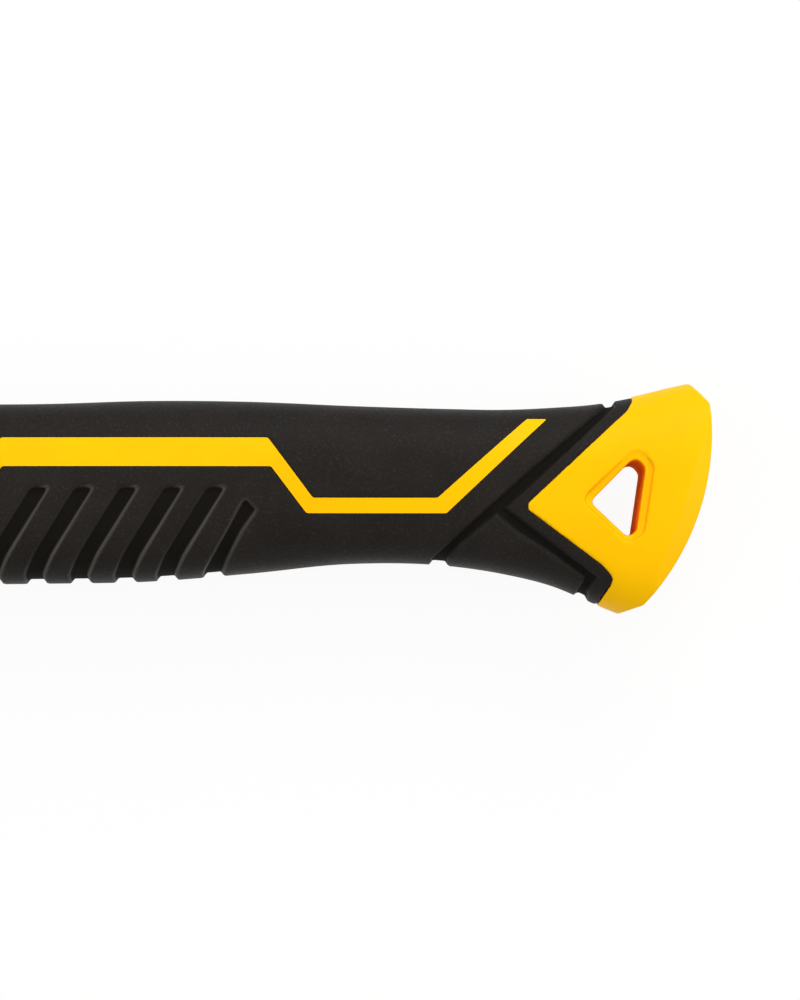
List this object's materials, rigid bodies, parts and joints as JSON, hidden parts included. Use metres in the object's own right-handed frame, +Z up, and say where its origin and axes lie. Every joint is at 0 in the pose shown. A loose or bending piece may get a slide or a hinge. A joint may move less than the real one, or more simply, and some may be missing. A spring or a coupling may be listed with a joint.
{
  "type": "fire axe",
  "caption": "Pick-head fire axe with a forged head and a fibreglass handle in a yellow jacket with a black rubber grip.",
  "frame": {"origin": "centre of the bounding box on the floor the axe lies on", "axes": "+X along the handle to the butt, +Y towards the pick, +Z up through the cheeks"},
  "size_m": [0.715, 0.3, 0.044],
  "materials": {
    "head_steel": "red enamel on forged steel, edge and pick tip ground bare",
    "fibreglass": "pultruded glass fibre in polyester",
    "epoxy": "cured dark epoxy",
    "cap_rubber": "matte moulded rubber",
    "dam_rubber": "soft foam rubber",
    "pin_steel": "plain hardened steel",
    "jacket_plastic": "satin moulded yellow plastic",
    "guard_rubber": "matte moulded rubber",
    "grip_rubber": "matte speckled soft rubber",
    "butt_plastic": "satin moulded yellow plastic"
  },
  "bodies": {
    "root": {"axe_head": "head_steel", "fibreglass_core": "fibreglass", "eye_bond": "epoxy", "eye_cap": "cap_rubber", "epoxy_dam": "dam_rubber", "upper_pin": "pin_steel", "lower_pin": "pin_steel", "handle_jacket": "jacket_plastic", "overstrike_guard": "guard_rubber", "grip_overmould": "grip_rubber", "butt_cap": "butt_plastic"}
  },
  "joints": []
}
